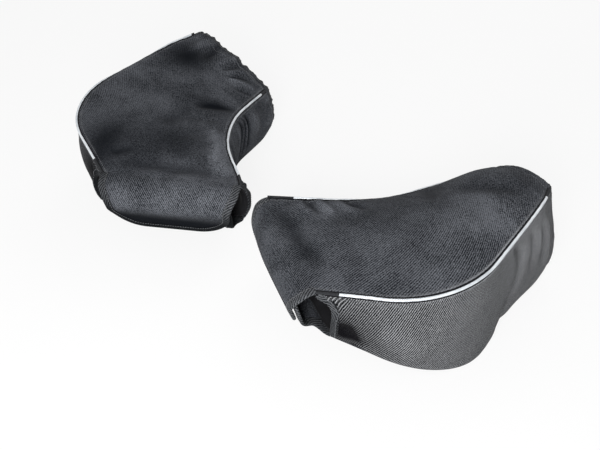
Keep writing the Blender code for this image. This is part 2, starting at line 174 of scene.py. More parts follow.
# Woven polyester: a diagonal rib on the cloth's own flat coordinates, which are in metres
weaves = {
    "topCloth": {
        "dark": (0.004, 0.005, 0.007, 1), "light": (0.150, 0.158, 0.177, 1), "worn": (0.20, 0.205, 0.22, 1),
        "pitch": 0.0024, "rib": (0.1, 0.9), "lean": 34.0, "yarn": 0.0021, "wander": 0.45, "cloud": 17.0,
        "weave": 0.50, "clouds": 0.48, "speck": 0.55, "wear": 0.25, "strength": 0.6,
    },
    # the same outer fabric for the outer walls, painted lighter where the light falls, with its rib shown
    # stronger
    "litWallCloth": {
        "dark": (0.003, 0.003, 0.004, 1), "light": (0.284, 0.290, 0.302, 1), "worn": (0.24, 0.245, 0.25, 1),
        "pitch": 0.0023, "rib": (0.54, 0.97), "lean": 65.0, "yarn": 0.0021, "wander": 0.30, "cloud": 15.0,
        "weave": 1.05, "clouds": 0.16, "speck": 0.30, "wear": 0.12, "strength": 0.6,
    },
    "tapeCloth": {
        "dark": (0.006, 0.007, 0.008, 1), "light": (0.135, 0.140, 0.150, 1), "worn": (0.25, 0.255, 0.26, 1),
        "pitch": 0.0030, "rib": (0.1, 0.9), "lean": 40.0, "yarn": 0.0014, "wander": 0.30, "cloud": 60.0,
        "weave": 0.72, "clouds": 0.30, "speck": 0.40, "wear": 0.0, "strength": 0.7,
    },
}
weaveLook = {
    "strayScale": 260.0, "speckScale": 620.0, "wearScale": 90.0, "yarnShift": 0.37, "plainHeight": 0.45,
    "patchy": (0.32, 0.68), "worn": (0.35, 0.7), "cloudShare": 0.6, "specksLift": 0.35, "lift": 0.0004,
    "rough": 0.70, "cloudsRough": 0.12, "specksRough": 0.08, "seamShade": 0.3,
}
# Beside a seam, in millimetres: its dark line, its wear, and where a painted highlight of its turned edge lies
seamLook = {"line": (0.2, 1.0), "wear": (1.0, 12.0), "weltFrom": (3.6, 4.4), "weltTo": (4.9, 6.2),
            "weltHighlight": (0.36, 0.37, 0.39, 1)}
seamless = 20.0      # a piece without a seam of its own lies this far from one


def weaveMaterial(name):
    values = weaves[name]
    made, shader, coordinates = newMaterial(name, {"Sheen Weight": 0.02, "Sheen Roughness": 0.4,
                                                   "Specular IOR Level": 0.03})
    place = coordinates["Object"]
    across, along = acrossAndAlong(coordinates)
    lean = math.radians(values["lean"])
    stray = (noise(place, weaveLook["strayScale"]) - 0.5) * values["wander"]
    ribs = (across * math.cos(lean) + along * math.sin(lean)) / values["pitch"] + stray
    yarns = (along * math.cos(lean) - across * math.sin(lean)) / values["yarn"]
    yarns = yarns + ribs.maths("FLOOR", ribs) * weaveLook["yarnShift"]
    plain = painted(place, "plain")
    weave = ribs.wave().between(*values["rib"]) * (yarns.wave() * 0.3 + 0.7)
    weave = weave * (1 - plain) + plain * weaveLook["plainHeight"]
    clouds = noise(place, values["cloud"], 4.0, 0.55).between(*weaveLook["patchy"])
    specks = noise(place, weaveLook["speckScale"], 2.0, 0.7).between(*weaveLook["patchy"])
    # painted light and shade, written on each piece, scales the cloth's lighter share
    paintedLightShade = painted(place, "paintedLightShade") + 1
    lit = weave * values["weave"] + clouds * values["clouds"] * weaveLook["cloudShare"]
    lit = lit + (specks - 0.5) * values["speck"]
    seam = painted(place, "seam") + seamless
    lit = lit * paintedLightShade * (seam.between(*seamLook["line"]) * (1 - weaveLook["seamShade"]) + weaveLook["seamShade"])
    patches = noise(place, weaveLook["wearScale"], 3.0).between(*weaveLook["worn"])
    worn = (1 - seam.between(*seamLook["wear"])) * patches * values["wear"]
    # painted highlight: a light line on the turned edge beside the seam
    weltHighlight = painted(place, "weltHighlight") * seam.between(*seamLook["weltFrom"])
    weltHighlight = weltHighlight * (1 - seam.between(*seamLook["weltTo"])) * (specks * 0.5 + 0.6)
    shade = colourMix(values["dark"], values["light"], lit.clamped())
    shade = colourMix(shade, values["worn"], worn)
    shade = colourMix(shade, seamLook["weltHighlight"], weltHighlight)
    rough = clouds * weaveLook["cloudsRough"] + weaveLook["rough"] + specks * weaveLook["specksRough"]
    dress(shader, shade, rough, weave + specks * weaveLook["specksLift"], values["strength"], weaveLook["lift"])
    return made


def pipingMaterial():
    made, shader, coordinates = newMaterial("silverPiping", {"Metallic": 0.15, "Specular IOR Level": 0.6,
                                                             "Sheen Weight": 0.1})
    place = coordinates["Object"]
    knit = place.add("ShaderNodeTexVoronoi", None, {"Vector": place, "Scale": 1100.0})["Distance"]
    grime = noise(place, 45.0, 4.0).between(0.3, 0.75)
    shade = colourMix((0.72, 0.75, 0.78, 1), (0.34, 0.37, 0.41, 1), grime * 0.7)
    dress(shader, shade, grime * 0.2 + 0.3, knit, 0.25, 0.0002)
    return made


def ribbedMaterial(name, dark, light, pitch):
    made, shader, coordinates = newMaterial(name, {"Sheen Weight": 0.03, "Specular IOR Level": 0.08})
    across, along = acrossAndAlong(coordinates)
    ribs = (along / pitch).wave()
    threads = (across / (pitch * 0.8)).wave()
    specks = noise(coordinates["Object"], 600.0)
    shade = colourMix(dark, light, (ribs * 0.5 + threads * 0.2 + specks * 0.4).clamped())
    dress(shader, shade, specks * 0.15 + 0.72, ribs + threads * 0.4, 0.5, 0.0003)
    return made


def plainMaterial(name, dark, light, scale, rough, lift):
    made, shader, coordinates = newMaterial(name, {"Sheen Weight": 0.05, "Specular IOR Level": 0.08})
    broad = noise(coordinates["Object"], scale, 4.0).between(0.3, 0.7)
    fine = noise(coordinates["Object"], scale * 12, 3.0, 0.7)
    shade = colourMix(dark, light, broad * 0.5 + fine * 0.5)
    dress(shader, shade, fine * 0.15 + rough, fine + broad * 0.5, 0.5, lift)
    return made


def floorMaterial():
    made, shader, wire = newMaterial("paleFloor", {"Roughness": 0.9, "Specular IOR Level": 0.1})
    shade = colourMix((0.86, 0.86, 0.86, 1), (0.90, 0.90, 0.90, 1), noise(wire["Object"], 6.0))
    link(shade, shader, "Base Color")
    white = wire.add("ShaderNodeEmission", None, {"Color": (1, 1, 1, 1), "Strength": 1.0})["Emission"]
    lit = Wire(wire.tree, shader, shader.outputs["BSDF"])
    mixer = wire.add("ShaderNodeMixShader", None, {0: seenRays(wire) * stage["floorGlow"], 1: lit, 2: white})
    output = made.node_tree.nodes["Material Output"]
    made.node_tree.links.new(mixer["Shader"].socket, output.inputs["Surface"])
    return made


stage = {
    "floorSize": 12.0,
    "floorGlow": 0.85,            # share of the floor's own white that the camera sees
    "skyStrength": 0.33,
    "lamps": {                    # place, size and power
        "key": ((0.66, -1.16, 0.74), 0.7, 24.0),
        "fill": ((-1.2, -1.0, 1.3), 1.6, 2.0),
        "back": ((-0.3, 1.6, 1.4), 1.6, 10.0),
    },
    "aim": (0.02, 0.0, 0.06),     # what the lamps are turned to
}


def addStage():
    bpy.ops.mesh.primitive_plane_add(size=stage["floorSize"])
    floor = bpy.context.object
    floor.name = "floor"
    floor.data.materials.append(floorMaterial())
    for name, (place, size, power) in stage["lamps"].items():
        bpy.ops.object.light_add(type="AREA", location=place)
        lamp = bpy.context.object
        lamp.name = name
        lamp.data.shape, lamp.data.size, lamp.data.energy = "DISK", size, power
        lamp.rotation_euler = (Vector(stage["aim"]) - Vector(place)).to_track_quat("-Z", "Y").to_euler()
    sky = bpy.data.worlds.new("sky")
    sky.use_nodes = True
    scene.world = sky
    wire = Wire(sky.node_tree)
    plain = sky.node_tree.nodes["Background"]
    link(seenRays(wire) * (1 - stage["skyStrength"]) + stage["skyStrength"], plain, "Strength")
    plain.inputs["Color"].default_value = (1, 1, 1, 1)


scene.view_settings.view_transform = "Standard"
addStage()
print("stage set")


# The mitt's own frame: x along the bar from the inner seam, y back from the bar, z up, in metres and degrees
body = {
    "openingWidth": 0.180, "barHeight": 0.082, "barRadius": 0.010, "barClearance": 0.009,
    "setback": 0.003, "rollRadius": 0.024,
    "innerCorner": 0.0208, "standBack": -0.07584, "toe": 30.7,
    "crown": {"right": 0.008, "left": 0.026}, "crownShare": 0.6, "bulge": 0.005,
    "roomBelow": 0.037, "frontLiftShare": 0.5, "rearLiftShare": 0.8, "bottomFront": 0.017,
    "fabric": 0.0016, "foam": 0.005, "lining": 0.0014, "gap": 0.0004, "floorGap": 0.0002,
}
outerSeam = {"startX": 0.180, "flare": 38.2, "frontRun": 0.074, "radius": 0.115, "back": 32.3,
             "rearRun": 0.165, "middle": 0.132, "rear": 0.141, "lift": 0.025}
innerSeam = {"startX": 0.0, "flare": 20.5, "frontRun": 0.070, "radius": 0.249, "back": 12.1,
             "rearRun": 0.093, "middle": 0.096, "rear": 0.073, "lift": 0.009}
flap = {"start": 45.0, "tuck": 15.0, "hang": 0.044, "thickness": 0.003, "corner": 0.045, "taper": 0.010}
underFlap = {"innerInset": 0.012, "outerInset": 0.014, "bend": 0.010, "rise": 0.033, "corner": 0.010,
             "spread": 0.012}
tape = {"thickness": 0.001, "width": 0.020, "length": 0.110, "gap": 0.0003}
notchRadius = body["barRadius"] + body["barClearance"]
frontLift = body["barHeight"] - body["roomBelow"]
frontHeight = body["barHeight"] + math.sqrt(body["rollRadius"] ** 2 - body["setback"] ** 2)


def mixed(a, b, share):
    return a + (b - a) * share


def smooth(share):
    share = np.clip(share, 0.0, 1.0)
    return share * share * (3 - 2 * share)


def throughThree(share, first, middle, last):
    return (first * (1 - share) * (1 - 2 * share) + middle * 4 * share * (1 - share)
            + last * share * (2 * share - 1))


def seamPoint(seam, share):
    flare, back, radius = math.radians(seam["flare"]), math.radians(seam["back"]), seam["radius"]
    arc = radius * (flare + back)
    run = share * (seam["frontRun"] + arc + seam["rearRun"])
    turned = min(max((run - seam["frontRun"]) / arc, 0.0), 1.0) * (flare + back) - flare
    first, last = min(run, seam["frontRun"]), max(run - seam["frontRun"] - arc, 0.0)
    x = seam["startX"] + first * math.sin(flare) + radius * (math.cos(turned) - math.cos(flare))
    y = body["setback"] + first * math.cos(flare) + radius * (math.sin(turned) + math.sin(flare))
    return (np.array([x - last * math.sin(back), y + last * math.cos(back), 0.0]),
            np.array([math.cos(turned), math.sin(turned), 0.0]))


def seamEnds(share, height=None):    # the inner and the outer seam's points at a share of their length
    ends = [seamPoint(seam, share)[0] for seam in (innerSeam, outerSeam)]
    if height:
        for end, seam in zip(ends, (innerSeam, outerSeam)):
            end[2] = height(seam, share)
    return ends


def seamShareAt(seam, y):
    step = 0.001
    return (y - body["setback"]) / (seamPoint(seam, step)[0][1] - body["setback"]) * step


def topHeight(seam, share):
    return throughThree(share, frontHeight, seam["middle"], seam["rear"])


def bottomHeight(seam, share):
    front = max(1 - share / body["frontLiftShare"], 0.0)
    rear = max((share - body["rearLiftShare"]) / (1 - body["rearLiftShare"]), 0.0)
    return frontLift * front ** 1.5 + seam["lift"] * rear ** 2


def placed(side, points, moved=True):    # from the mitt's own frame to its place in the pair
    flip = flips[side]
    turn = -flip * math.radians(body["toe"])
    x, y = points[..., 0] * flip, points[..., 1]
    shift = (flip * body["innerCorner"], body["standBack"]) if moved else (0.0, 0.0)
    return np.stack([x * math.cos(turn) - y * math.sin(turn) + shift[0],
                     x * math.sin(turn) + y * math.cos(turn) + shift[1], points[..., 2]], axis=-1)


# The front of the top cloth: from the roll's crest over the bar and down the flap, by length of cloth
crestAngle = -math.degrees(math.asin(body["setback"] / body["rollRadius"]))
hingeRun = body["rollRadius"] * math.radians(flap["start"] - crestAngle)
bendRun = body["rollRadius"] * math.radians(90 + flap["tuck"] - crestAngle)
flapLength = bendRun - hingeRun + flap["hang"]
tuck = math.radians(flap["tuck"])
hangWay = np.array([0.0, math.sin(tuck), -math.cos(tuck)])


def frontProfile(run):
    radius = body["rollRadius"]
    angle = math.radians(crestAngle) + min(run, bendRun) / radius
    place = np.array([0.0, -radius * math.sin(angle), body["barHeight"] + radius * math.cos(angle)])
    return place + hangWay * max(run - bendRun, 0.0)


def drawnIn(run, length, corner, taper):
    straight = length - corner
    into = min(max(run - straight, 0.0), corner)
    return taper * min(run / straight, 1.0) + corner - math.sqrt(corner ** 2 - into ** 2)


# The under flap, from its hinge at the bottom cloth's front edge
hingeShare = max(seamShareAt(seam, body["bottomFront"]) for seam in (innerSeam, outerSeam))
underHinge = np.array([0.0, body["bottomFront"], bottomHeight(outerSeam, hingeShare)])
facingDepth = flap["thickness"] + tape["gap"]
underRadius = body["rollRadius"] - facingDepth - 2 * (tape["thickness"] + tape["gap"])
riseFacing = np.array([0.0, -math.cos(tuck), -math.sin(tuck)])
bendZ = underHinge[2] + underFlap["bend"]
bendY = (underRadius - underFlap["bend"] - (bendZ - body["barHeight"]) * riseFacing[2]) / riseFacing[1]
underRun = underHinge[1] - bendY
underArc = underFlap["bend"] * (math.pi / 2 - tuck)
underLength = underRun + underArc + underFlap["rise"]


def underProfile(run):
    if run <= underRun:
        return underHinge - np.array([0.0, run, 0.0])
    turned = min((run - underRun) / underFlap["bend"], math.pi / 2 - tuck)
    forward, down = underFlap["bend"] * math.sin(turned), underFlap["bend"] * math.cos(turned)
    place = np.array([0.0, bendY - forward, bendZ - down])
    return place - hangWay * max(run - underRun - underArc, 0.0)


# How finely each cloth is laid out
cloth = {"topColumns": 49, "bottomColumns": 33, "wallColumns": 21, "alongRows": 109, "flapRows": 8,
         "cornerRows": 11, "rollRows": 6, "underRows": 15, "underCornerRows": 4, "crowding": 0.5,
         "settled": 0.09}
alongStops = np.linspace(0.0, 1.0, cloth["alongRows"])


def crowded(count):
    shares = np.linspace(0.0, 1.0, count)
    return shares - cloth["crowding"] * np.sin(2 * math.pi * shares) / (2 * math.pi)


def shareAt(front, stop):            # rows start at a cloth's own front edge and are even from there on
    return mixed(front, cloth["settled"], stop / cloth["settled"]) if stop < cloth["settled"] else stop


def flapRuns(length, corner, cornerRows, rows):     # from a flap's edge to its hinge, closer at the round corners
    straight = length - corner
    edge = [straight + corner * math.sin(math.pi / 2 * i / cornerRows) for i in range(cornerRows, 0, -1)]
    return edge + list(np.linspace(straight, 0.0, rows))


def rowAt(place, low, high, across):
    row = np.tile(place, (len(across), 1))
    row[:, 0] = mixed(low, high, across)
    return row


def topGrid(side):
    across = crowded(cloth["topColumns"])
    rows = []
    for run in flapRuns(flapLength, flap["corner"], cloth["cornerRows"], cloth["flapRows"]):
        low = drawnIn(run, flapLength, flap["corner"], flap["taper"])
        rows.append(rowAt(frontProfile(hingeRun + run), low, body["openingWidth"] - low, across))
    for run in np.linspace(hingeRun, 0.0, cloth["rollRows"])[1:-1]:
        rows.append(rowAt(frontProfile(run), 0.0, body["openingWidth"], across))
    crest = len(rows)
    for share in alongStops:
        inner, outer = seamEnds(share, topHeight)
        row = inner + (outer - inner) * across[:, None]
        row[:, 2] += body["crown"][side] * smooth(share / body["crownShare"]) * 4 * across * (1 - across)
        rows.append(row)
    return np.array(rows), crest


def bottomGrid():
    across = 1 - crowded(cloth["bottomColumns"])
    fronts = [seamShareAt(seam, body["bottomFront"]) for seam in (innerSeam, outerSeam)]
    ends = [seamPoint(seam, share)[0][0] for seam, share in zip((innerSeam, outerSeam), fronts)]
    rows = []
    for run in flapRuns(underLength, underFlap["corner"], cloth["underCornerRows"], cloth["underRows"])[:-1]:
        spread = smooth(run / underFlap["spread"])
        corner = drawnIn(run, underLength, underFlap["corner"], 0.0)
        low = mixed(ends[0], underFlap["innerInset"], spread) + corner
        high = mixed(ends[1], body["openingWidth"] - underFlap["outerInset"], spread) - corner
        rows.append(rowAt(underProfile(run), low, high, across))
    hinge = len(rows)
    for stop in alongStops:
        row = []
        for share in across:
            own = shareAt(mixed(*fronts, share), stop)
            row.append(mixed(*seamEnds(own, bottomHeight), share))
        rows.append(row)
    return np.array(rows), hinge


def wallFront(height):
    over = height - body["barHeight"]
    if over >= 0:
        return max(body["setback"], math.sqrt(max(notchRadius ** 2 - over ** 2, 0.0)))
    return mixed(notchRadius, body["bottomFront"], over / (underHinge[2] - body["barHeight"]))


def wallGrid(seam, out):             # out is 1 where the wall faces away from the other mitt, and -1 towards it
    down = crowded(cloth["wallColumns"])[::out]
    fronts = []
    for share in down:
        height = mixed(topHeight(seam, hingeShare), bottomHeight(seam, hingeShare), share)
        fronts.append(seamShareAt(seam, wallFront(height)))
    rows = []
    for stop in alongStops:
        row = []
        for share, front in zip(down, fronts):
            own = shareAt(front, stop)
            plan, facing = seamPoint(seam, own)
            place = plan + facing * out * body["bulge"] * 4 * share * (1 - share)
            place[2] = mixed(topHeight(seam, own), bottomHeight(seam, own), share)
            row.append(place)
        rows.append(row)
    return np.array(rows)


# Grids of points made into pieces

def pick(piece):
    bpy.ops.object.select_all(action="DESELECT")
    piece.select_set(True)
    bpy.context.view_layer.objects.active = piece


def edit(piece, *steps):
    pick(piece)
    bpy.ops.object.mode_set(mode="EDIT")
    bpy.ops.mesh.select_all(action="SELECT")
    for step in steps:
        step()
    bpy.ops.object.mode_set(mode="OBJECT")


def faceOut():
    bpy.ops.mesh.normals_make_consistent(inside=False)


def weld():
    bpy.ops.mesh.remove_doubles(threshold=1e-6)


def shadeSmooth(piece):
    pick(piece)
    bpy.ops.object.shade_smooth_by_angle(angle=math.radians(50))


def movePoints(piece, points):
    piece.data.vertices.foreach_set("co", points.reshape(-1).astype(np.float32))


def paint(piece, label, values):     # a value at each point, which the materials read
    layer = piece.data.attributes.new(label, "FLOAT", "POINT")
    layer.data.foreach_set("value", values.reshape(-1).astype(np.float32))


def runsAlong(points):               # metres from the first row
    steps = np.linalg.norm(np.diff(points, axis=0), axis=-1)
    return np.concatenate([np.zeros((1, *steps.shape[1:])), np.cumsum(steps, axis=0)])


def measured(points):                # metres across from the middle column, and along it
    middle = points.shape[1] // 2
    across = runsAlong(points.swapaxes(0, 1)).T
    across = across - across[:, middle:middle + 1]
    along = runsAlong(points[:, middle])
    return np.stack([across, np.repeat(along[:, None], points.shape[1], axis=1)], axis=-1)


def addGrid(name, points, flipped=False):
    rows, columns = points.shape[:2]
    bpy.ops.object.select_all(action="DESELECT")
    bpy.ops.mesh.primitive_grid_add(x_subdivisions=columns - 1, y_subdivisions=rows - 1, size=1.0)
    piece = bpy.context.object
    piece.name = piece.data.name = name
    movePoints(piece, points)
    corners = np.empty(len(piece.data.loops), np.int32)
    piece.data.loops.foreach_get("vertex_index", corners)
    flat = measured(points) * ((-1 if flipped else 1), 1)     # a mirrored piece has its weave mirrored too
    flat = flat.reshape(-1, 2)[corners]
    piece.data.uv_layers[0].data.foreach_set("uv", flat.reshape(-1).astype(np.float32))
    if flipped:
        edit(piece, bpy.ops.mesh.flip_normals)
    piece.data.update()
    return piece


def facings(points, flipped):
    across, along = np.gradient(points, axis=1), np.gradient(points, axis=0)
    return unit(np.cross(across, along) * (-1 if flipped else 1))


def thicken(piece, thickness, offset=-1.0, group=""):     # a group has the thickness, and the rest the fabric's
    finer = piece.modifiers.new("Finer", "SUBSURF")
    finer.levels = finer.render_levels = 1
    finer.boundary_smooth = "PRESERVE_CORNERS"
    wall = piece.modifiers.new("Thickness", "SOLIDIFY")
    wall.thickness, wall.offset = thickness, offset
    if group:
        wall.vertex_group = group
        wall.thickness_vertex_group = body["fabric"] / thickness
    pick(piece)
    for modifier in list(piece.modifiers):
        bpy.ops.object.modifier_apply(modifier=modifier.name)
    shadeSmooth(piece)


def finished(piece, material, slot, nodes, ridesOn=None):
    piece.data.materials.clear()
    piece.data.materials.append(material)
    if nodes:
        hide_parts(*nodes)
    if ridesOn:
        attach(piece, ridesOn)


# Swept pieces: a section of (side, up) offsets carried along a path

def valuesAt(places, runs, values):
    return np.stack([np.interp(places, runs, values[:, k]) for k in range(3)], axis=-1)


def evenly(path, spacing, *others, closed=False):
    if closed:
        path = np.vstack([path, path[:1]])
    runs = runsAlong(path)
    count = int(round(runs[-1] / spacing))
    places = np.linspace(0.0, runs[-1], count + 1)
    if closed:
        places = places[:-1]
    return [valuesAt(places, runs, values) for values in (path, *others)]


def unit(ways):
    return ways / np.maximum(np.linalg.norm(ways, axis=-1, keepdims=True), 1e-9)


def squared(ways, line):             # the ways' part at right angles to a line
    return unit(ways - line * np.sum(ways * line, axis=1, keepdims=True))


def ahead(path, closed=False):
    if closed:
        return unit(np.roll(path, -1, axis=0) - np.roll(path, 1, axis=0))
    return unit(np.gradient(path, axis=0))


def sweep(path, sides, ups, section):
    section = np.asarray(section)
    return (path[:, None] + sides[:, None] * section[None, :, 0, None]
            + ups[:, None] * section[None, :, 1, None])


def ringSection(radius, count):
    turns = [2 * math.pi * i / count for i in range(count + 1)]
    return [(radius * math.cos(turn), radius * math.sin(turn)) for turn in turns]


def roundedSection(wide, half, radius, behind):
    section = []
    for x, z, first in ((wide - radius, half - radius, 0), (radius, half - radius, 90),
                        (radius, radius - half, 180), (wide - radius, radius - half, 270)):
        for angle in range(first, first + 91, 30):
            turn = math.radians(angle)
            section.append((x + radius * math.cos(turn) + behind, z + radius * math.sin(turn)))
    return section + section[:1]


def closeUp(piece):                  # joins the long edges of a tube and fills its ends
    edit(piece, weld, lambda: bpy.ops.mesh.fill_holes(sides=0), faceOut)
    solid = bmesh.new()
    solid.from_mesh(piece.data)
    if solid.calc_volume(signed=True) < 0:           # a gathered ring can come out inside out
        edit(piece, bpy.ops.mesh.flip_normals)
    solid.free()
    shadeSmooth(piece)


# A thread is a short tube that dips into the cloth at both ends.
# Each of its rings has a place along it, a share of its radius and a lift in radii.
stitch = {
    "pitch": 0.0034, "length": 0.0024, "radius": 0.00034, "sides": 6, "proud": 0.00012,
    "rings": ((-0.5, 0.35, -1.2), (-0.36, 0.9, 0.1), (0.0, 1.0, 0.45), (0.36, 0.9, 0.1), (0.5, 0.35, -1.2)),
}


def addStitches(name, rows):         # rows hold (path, ups)
    count = stitch["sides"]
    points, faces = [], []
    for path, ups in rows:
        path, ups = evenly(path, stitch["pitch"], ups)
        ways = ahead(path)
        ups = unit(ups)
        sides = unit(np.cross(ways, ups))
        for place, way, side, up in zip(path[:-1] + np.diff(path, axis=0) / 2, ways, sides, ups):
            start = len(points)
            for shift, swell, lift in stitch["rings"]:
                middle = (place + way * shift * stitch["length"]
                          + up * (stitch["proud"] + lift * stitch["radius"]))
                for i in range(count):
                    turn = 2 * math.pi * i / count
                    points.append(middle + (side * math.cos(turn) + up * math.sin(turn))
                                  * stitch["radius"] * swell)
            last = len(points) - count
            for low in range(start, last, count):
                for i in range(count):
                    after = (i + 1) % count
                    faces.append((low + i, low + after, low + after + count, low + i + count))
            faces.append(tuple(range(start + count - 1, start - 1, -1)))
            faces.append(tuple(range(last, last + count)))
    mesh = bpy.data.meshes.new(name)
    mesh.from_pydata([tuple(point) for point in points], [], faces)
    piece = bpy.data.objects.new(name, mesh)
    scene.collection.objects.link(piece)
    edit(piece, faceOut)
    bpy.ops.object.shade_smooth()
    return piece


# Puffing: each panel is pinned along its seams and blown out a little, with some cloth to spare
puff = {
    "frames": 20,
    "cloth": {"quality": 6, "mass": 0.2, "tension_stiffness": 14.0, "compression_stiffness": 14.0,
              "shear_stiffness": 7.0, "bending_stiffness": 0.6, "air_damping": 4.0, "use_pressure": True},
    "top": {"pressure": 3.0, "spare": 0.012, "cap": 0.006},
    "outer": {"pressure": 4.0, "spare": 0.010, "cap": 0.005},
    "inner": {"pressure": 4.0, "spare": 0.010, "cap": 0.005},
}


def addPuff(piece, values, held):
    pins = piece.vertex_groups.new(name="held")
    for index, weight in enumerate(held.reshape(-1)):
        if weight > 0:
            pins.add([index], float(weight), "REPLACE")
    modifier = piece.modifiers.new("Puff", "CLOTH")
    settings = modifier.settings
    for name, value in puff["cloth"].items():
        setattr(settings, name, value)
    settings.uniform_pressure_force = values["pressure"]
    settings.shrink_min = -values["spare"]
    settings.vertex_group_mass = pins.name
    settings.effector_weights.gravity = 0.0
    modifier.collision_settings.use_collision = False
    modifier.point_cache.frame_start, modifier.point_cache.frame_end = 1, puff["frames"]


def puffOut(pieces, world, crest):   # leaves the points in world as the cloths have settled
    names = [name for name in pieces if name in puff]
    for name in names:
        addPuff(pieces[name], puff[name], heldEdges(world[name], crest if name == "top" else 0))
    for number in range(1, puff["frames"] + 1):
        scene.frame_set(number)
    for name in names:
        pick(pieces[name])
        bpy.ops.object.modifier_apply(modifier="Puff")
        settled = np.empty(world[name].size, np.float32)
        pieces[name].data.vertices.foreach_get("co", settled)
        moved = settled.reshape(world[name].shape) - world[name]
        far = np.linalg.norm(moved, axis=2, keepdims=True)
        moved *= puff[name]["cap"] / (puff[name]["cap"] + far)
        world[name] = world[name] + moved
    scene.frame_set(1)


def heldEdges(points, extra):
    held = np.zeros(points.shape[:2])
    held[:, 0] = held[:, -1] = 1.0
    held[:extra + 1] = 1.0
    held[-1] = 1.0
    return held


# Folds, dents and gathers, each as a height over a panel's own flat coordinates
foldEnds = 0.85                      # how far a fold has run out at its ends


def ridge(flat, start, end, width, height):
    start, end = np.array(start), np.array(end)
    way = end - start
    share = np.clip(((flat - start) @ way) / (way @ way), 0.0, 1.0)
    away = np.linalg.norm(flat - (start + share[..., None] * way), axis=-1)
    return height * np.exp(-(away / width) ** 2) * (1 - (2 * share - 1) ** 4 * foldEnds)


def dent(flat, middle, width, height):
    away = np.linalg.norm((flat - np.array(middle)) / np.array(width), axis=-1)
    return height * np.exp(-away ** 2)


def gathers(across, fromRim, chance, span, values):
    lifted = np.zeros_like(across)
    place = span[0]
    while place < span[1]:
        height = mixed(*values["height"], chance.random())
        length = mixed(*values["length"], chance.random() ** 2)
        width = mixed(*values["width"], chance.random())
        lean = mixed(*values["lean"], chance.random())
        away = (across - place - fromRim * lean) / (width * (1 + fromRim / length))
        fade = 1 - smooth(fromRim / length)
        lifted += height * (np.exp(-away ** 2) - values["hollow"] * np.exp(-(away / 2) ** 2)) * fade
        place += mixed(*values["pitch"], chance.random())
    return lifted


def foldPlane(name, grid):           # in plan, or along a wall and up it
    if name in ("top", "bottom"):
        return grid[..., :2]
    return np.stack([runsAlong(grid[..., :2]), grid[..., 2]], axis=-1)


cuff = {
    "gathers": {"height": (0.0012, 0.0036), "length": (0.012, 0.060), "width": (0.0026, 0.0048),
                "pitch": (0.0085, 0.0150), "lean": (-0.25, 0.25), "hollow": 0.35,
                "margin": 0.008, "atRim": 0.45},     # they fade towards a seam and towards the rim
    # its waves have a pitch, and what makes them uneven: size, rate and start
    "hem": {"width": 0.0115, "depth": 0.0052, "corner": 0.002, "spacing": 0.0016, "behind": 0.0005,
            "crimp": 0.00018, "pleats": (0.0052, ((1.7, 130, 0), (1.1, 71, 2))),
            "scallop": 0.0006, "scallops": (0.015, ((1.2, 47, 1),)),
            "turn": {"right": 18.0, "left": 52.0}, "stitchIn": 0.0022, "stitchProud": 0.0001,
            "elastic": (0.0025, 0.0095, 0.0005)},
    "reach": 0.040,                  # how far the elastic draws the cloth in, and by what share
    "drawn": {"right": 0.03, "left": 0.07},
    # painted light and shade on the folds: how much lighter a raised fold and darker a sunken one is painted, for
    # each metre
    "relief": {"top": 125.0, "outer": 125.0, "bottom": 90.0, "inner": 270.0},
    "strength": {"right": 1.75, "left": 1.0},
    "shade": 0.45,                   # how much darker the hem is
}

# Where each mitt's cloth is drawn out of its even shape: middle, reach and move in the mitt's own frame
pulls = {
    "right": [
        ((0.13, 0.338, 0.141), (0.032, 0.032, 0.06), (-0.01, 0.013, 0.002)),
        ((0.07, 0.33, 0.115), (0.06, 0.04, 0.05), (-0.006, 0.006, 0.003)),
        ((0.225, 0.06, 0.01), (0.05, 0.07, 0.06), (-0.008, 0, 0.008)),
        ((0.003, 0.018, 0.07), (0.035, 0.035, 0.04), (-0.012, 0, -0.006)),
        ((0.02, 0.3, 0.01), (0.04, 0.05, 0.05), (-0.01, 0, -0.002)),
        ((0.033, 0.19, 0.01), (0.04, 0.034, 0.05), (0.006, 0, 0)),
    ],
    "left": [
        ((0.13, 0.338, 0.141), (0.055, 0.06, 0.06), (-0.006, -0.003, -0.002)),
        ((0.135, 0.335, 0.03), (0.055, 0.06, 0.06), (0.013, 0.009, -0.006)),
        ((0.065, 0.275, 0.115), (0.04, 0.05, 0.045), (0, 0.001, 0.006)),
        ((0.215, 0.05, 0), (0.06, 0.07, 0.05), (-0.005, 0, 0.002)),
        ((0.206, 0.236, 0.004), (0.012, 0.014, 0.02), (-0.003, -0.001, 0.002)),
        ((0.24, 0.185, 0), (0.045, 0.07, 0.045), (0.008, 0.001, 0)),
        ((0.002, -0.02, 0.088), (0.04, 0.035, 0.04), (0, 0.009, -0.001)),
    ],
}

